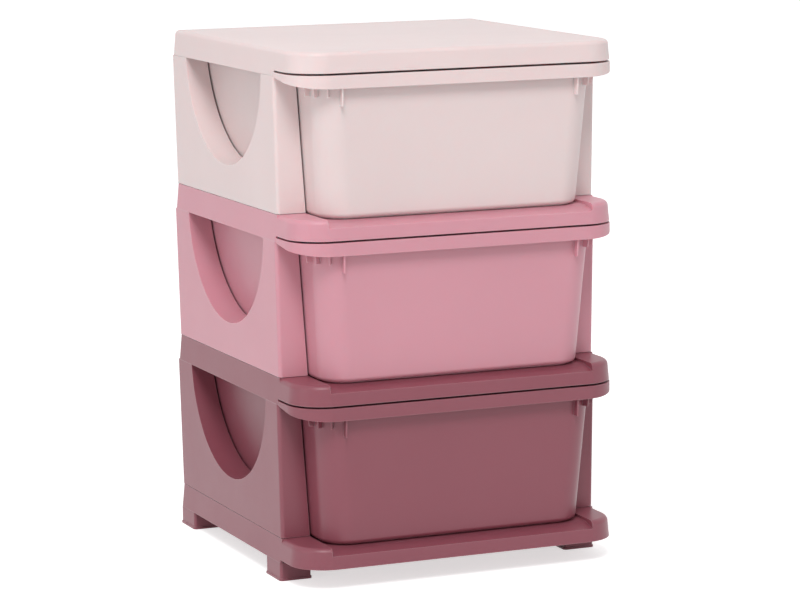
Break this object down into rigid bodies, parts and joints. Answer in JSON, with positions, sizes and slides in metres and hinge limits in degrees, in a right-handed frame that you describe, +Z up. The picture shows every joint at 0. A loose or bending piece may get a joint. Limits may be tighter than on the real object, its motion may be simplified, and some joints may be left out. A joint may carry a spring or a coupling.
{
  "type": "toy storage unit",
  "caption": "Free-standing plastic toy storage tower with tapered pull-out bins under overhanging shelves, round side cut-outs and short plug-in feet.",
  "frame": {"origin": "on the floor, under the middle of the unit's box", "axes": "+Z up, -Y towards the front where the drawers come out, +X to the right seen from the front"},
  "size_m": [0.372, 0.383, 0.565],
  "materials": {
    "light_pink": "satin moulded polypropylene, very pale pink",
    "mid_pink": "satin moulded polypropylene, rose pink",
    "dark_rose": "satin moulded polypropylene, dusty dark rose"
  },
  "bodies": {
    "frame": {"top_cover": "light_pink", "upper_shelf": "mid_pink", "lower_shelf": "dark_rose", "base_shelf": "dark_rose", "lower_left_panel": "dark_rose", "lower_right_panel": "dark_rose", "lower_back_panel": "dark_rose", "middle_left_panel": "mid_pink", "middle_right_panel": "mid_pink", "middle_back_panel": "mid_pink", "upper_left_panel": "light_pink", "upper_right_panel": "light_pink", "upper_back_panel": "light_pink", "front_left_foot": "dark_rose", "front_right_foot": "dark_rose", "rear_left_foot": "dark_rose", "rear_right_foot": "dark_rose"},
    "lower_drawer": {"lower_drawer": "dark_rose"},
    "middle_drawer": {"middle_drawer": "mid_pink"},
    "upper_drawer": {"upper_drawer": "light_pink"}
  },
  "joints": [
    {"name": "lower_drawer_slide", "type": "slide", "parent": "frame", "child": "lower_drawer", "axis": [0, -1, 0], "range_m": [0, 0.26]},
    {"name": "middle_drawer_slide", "type": "slide", "parent": "frame", "child": "middle_drawer", "axis": [0, -1, 0], "range_m": [0, 0.26]},
    {"name": "upper_drawer_slide", "type": "slide", "parent": "frame", "child": "upper_drawer", "axis": [0, -1, 0], "range_m": [0, 0.26]}
  ]
}
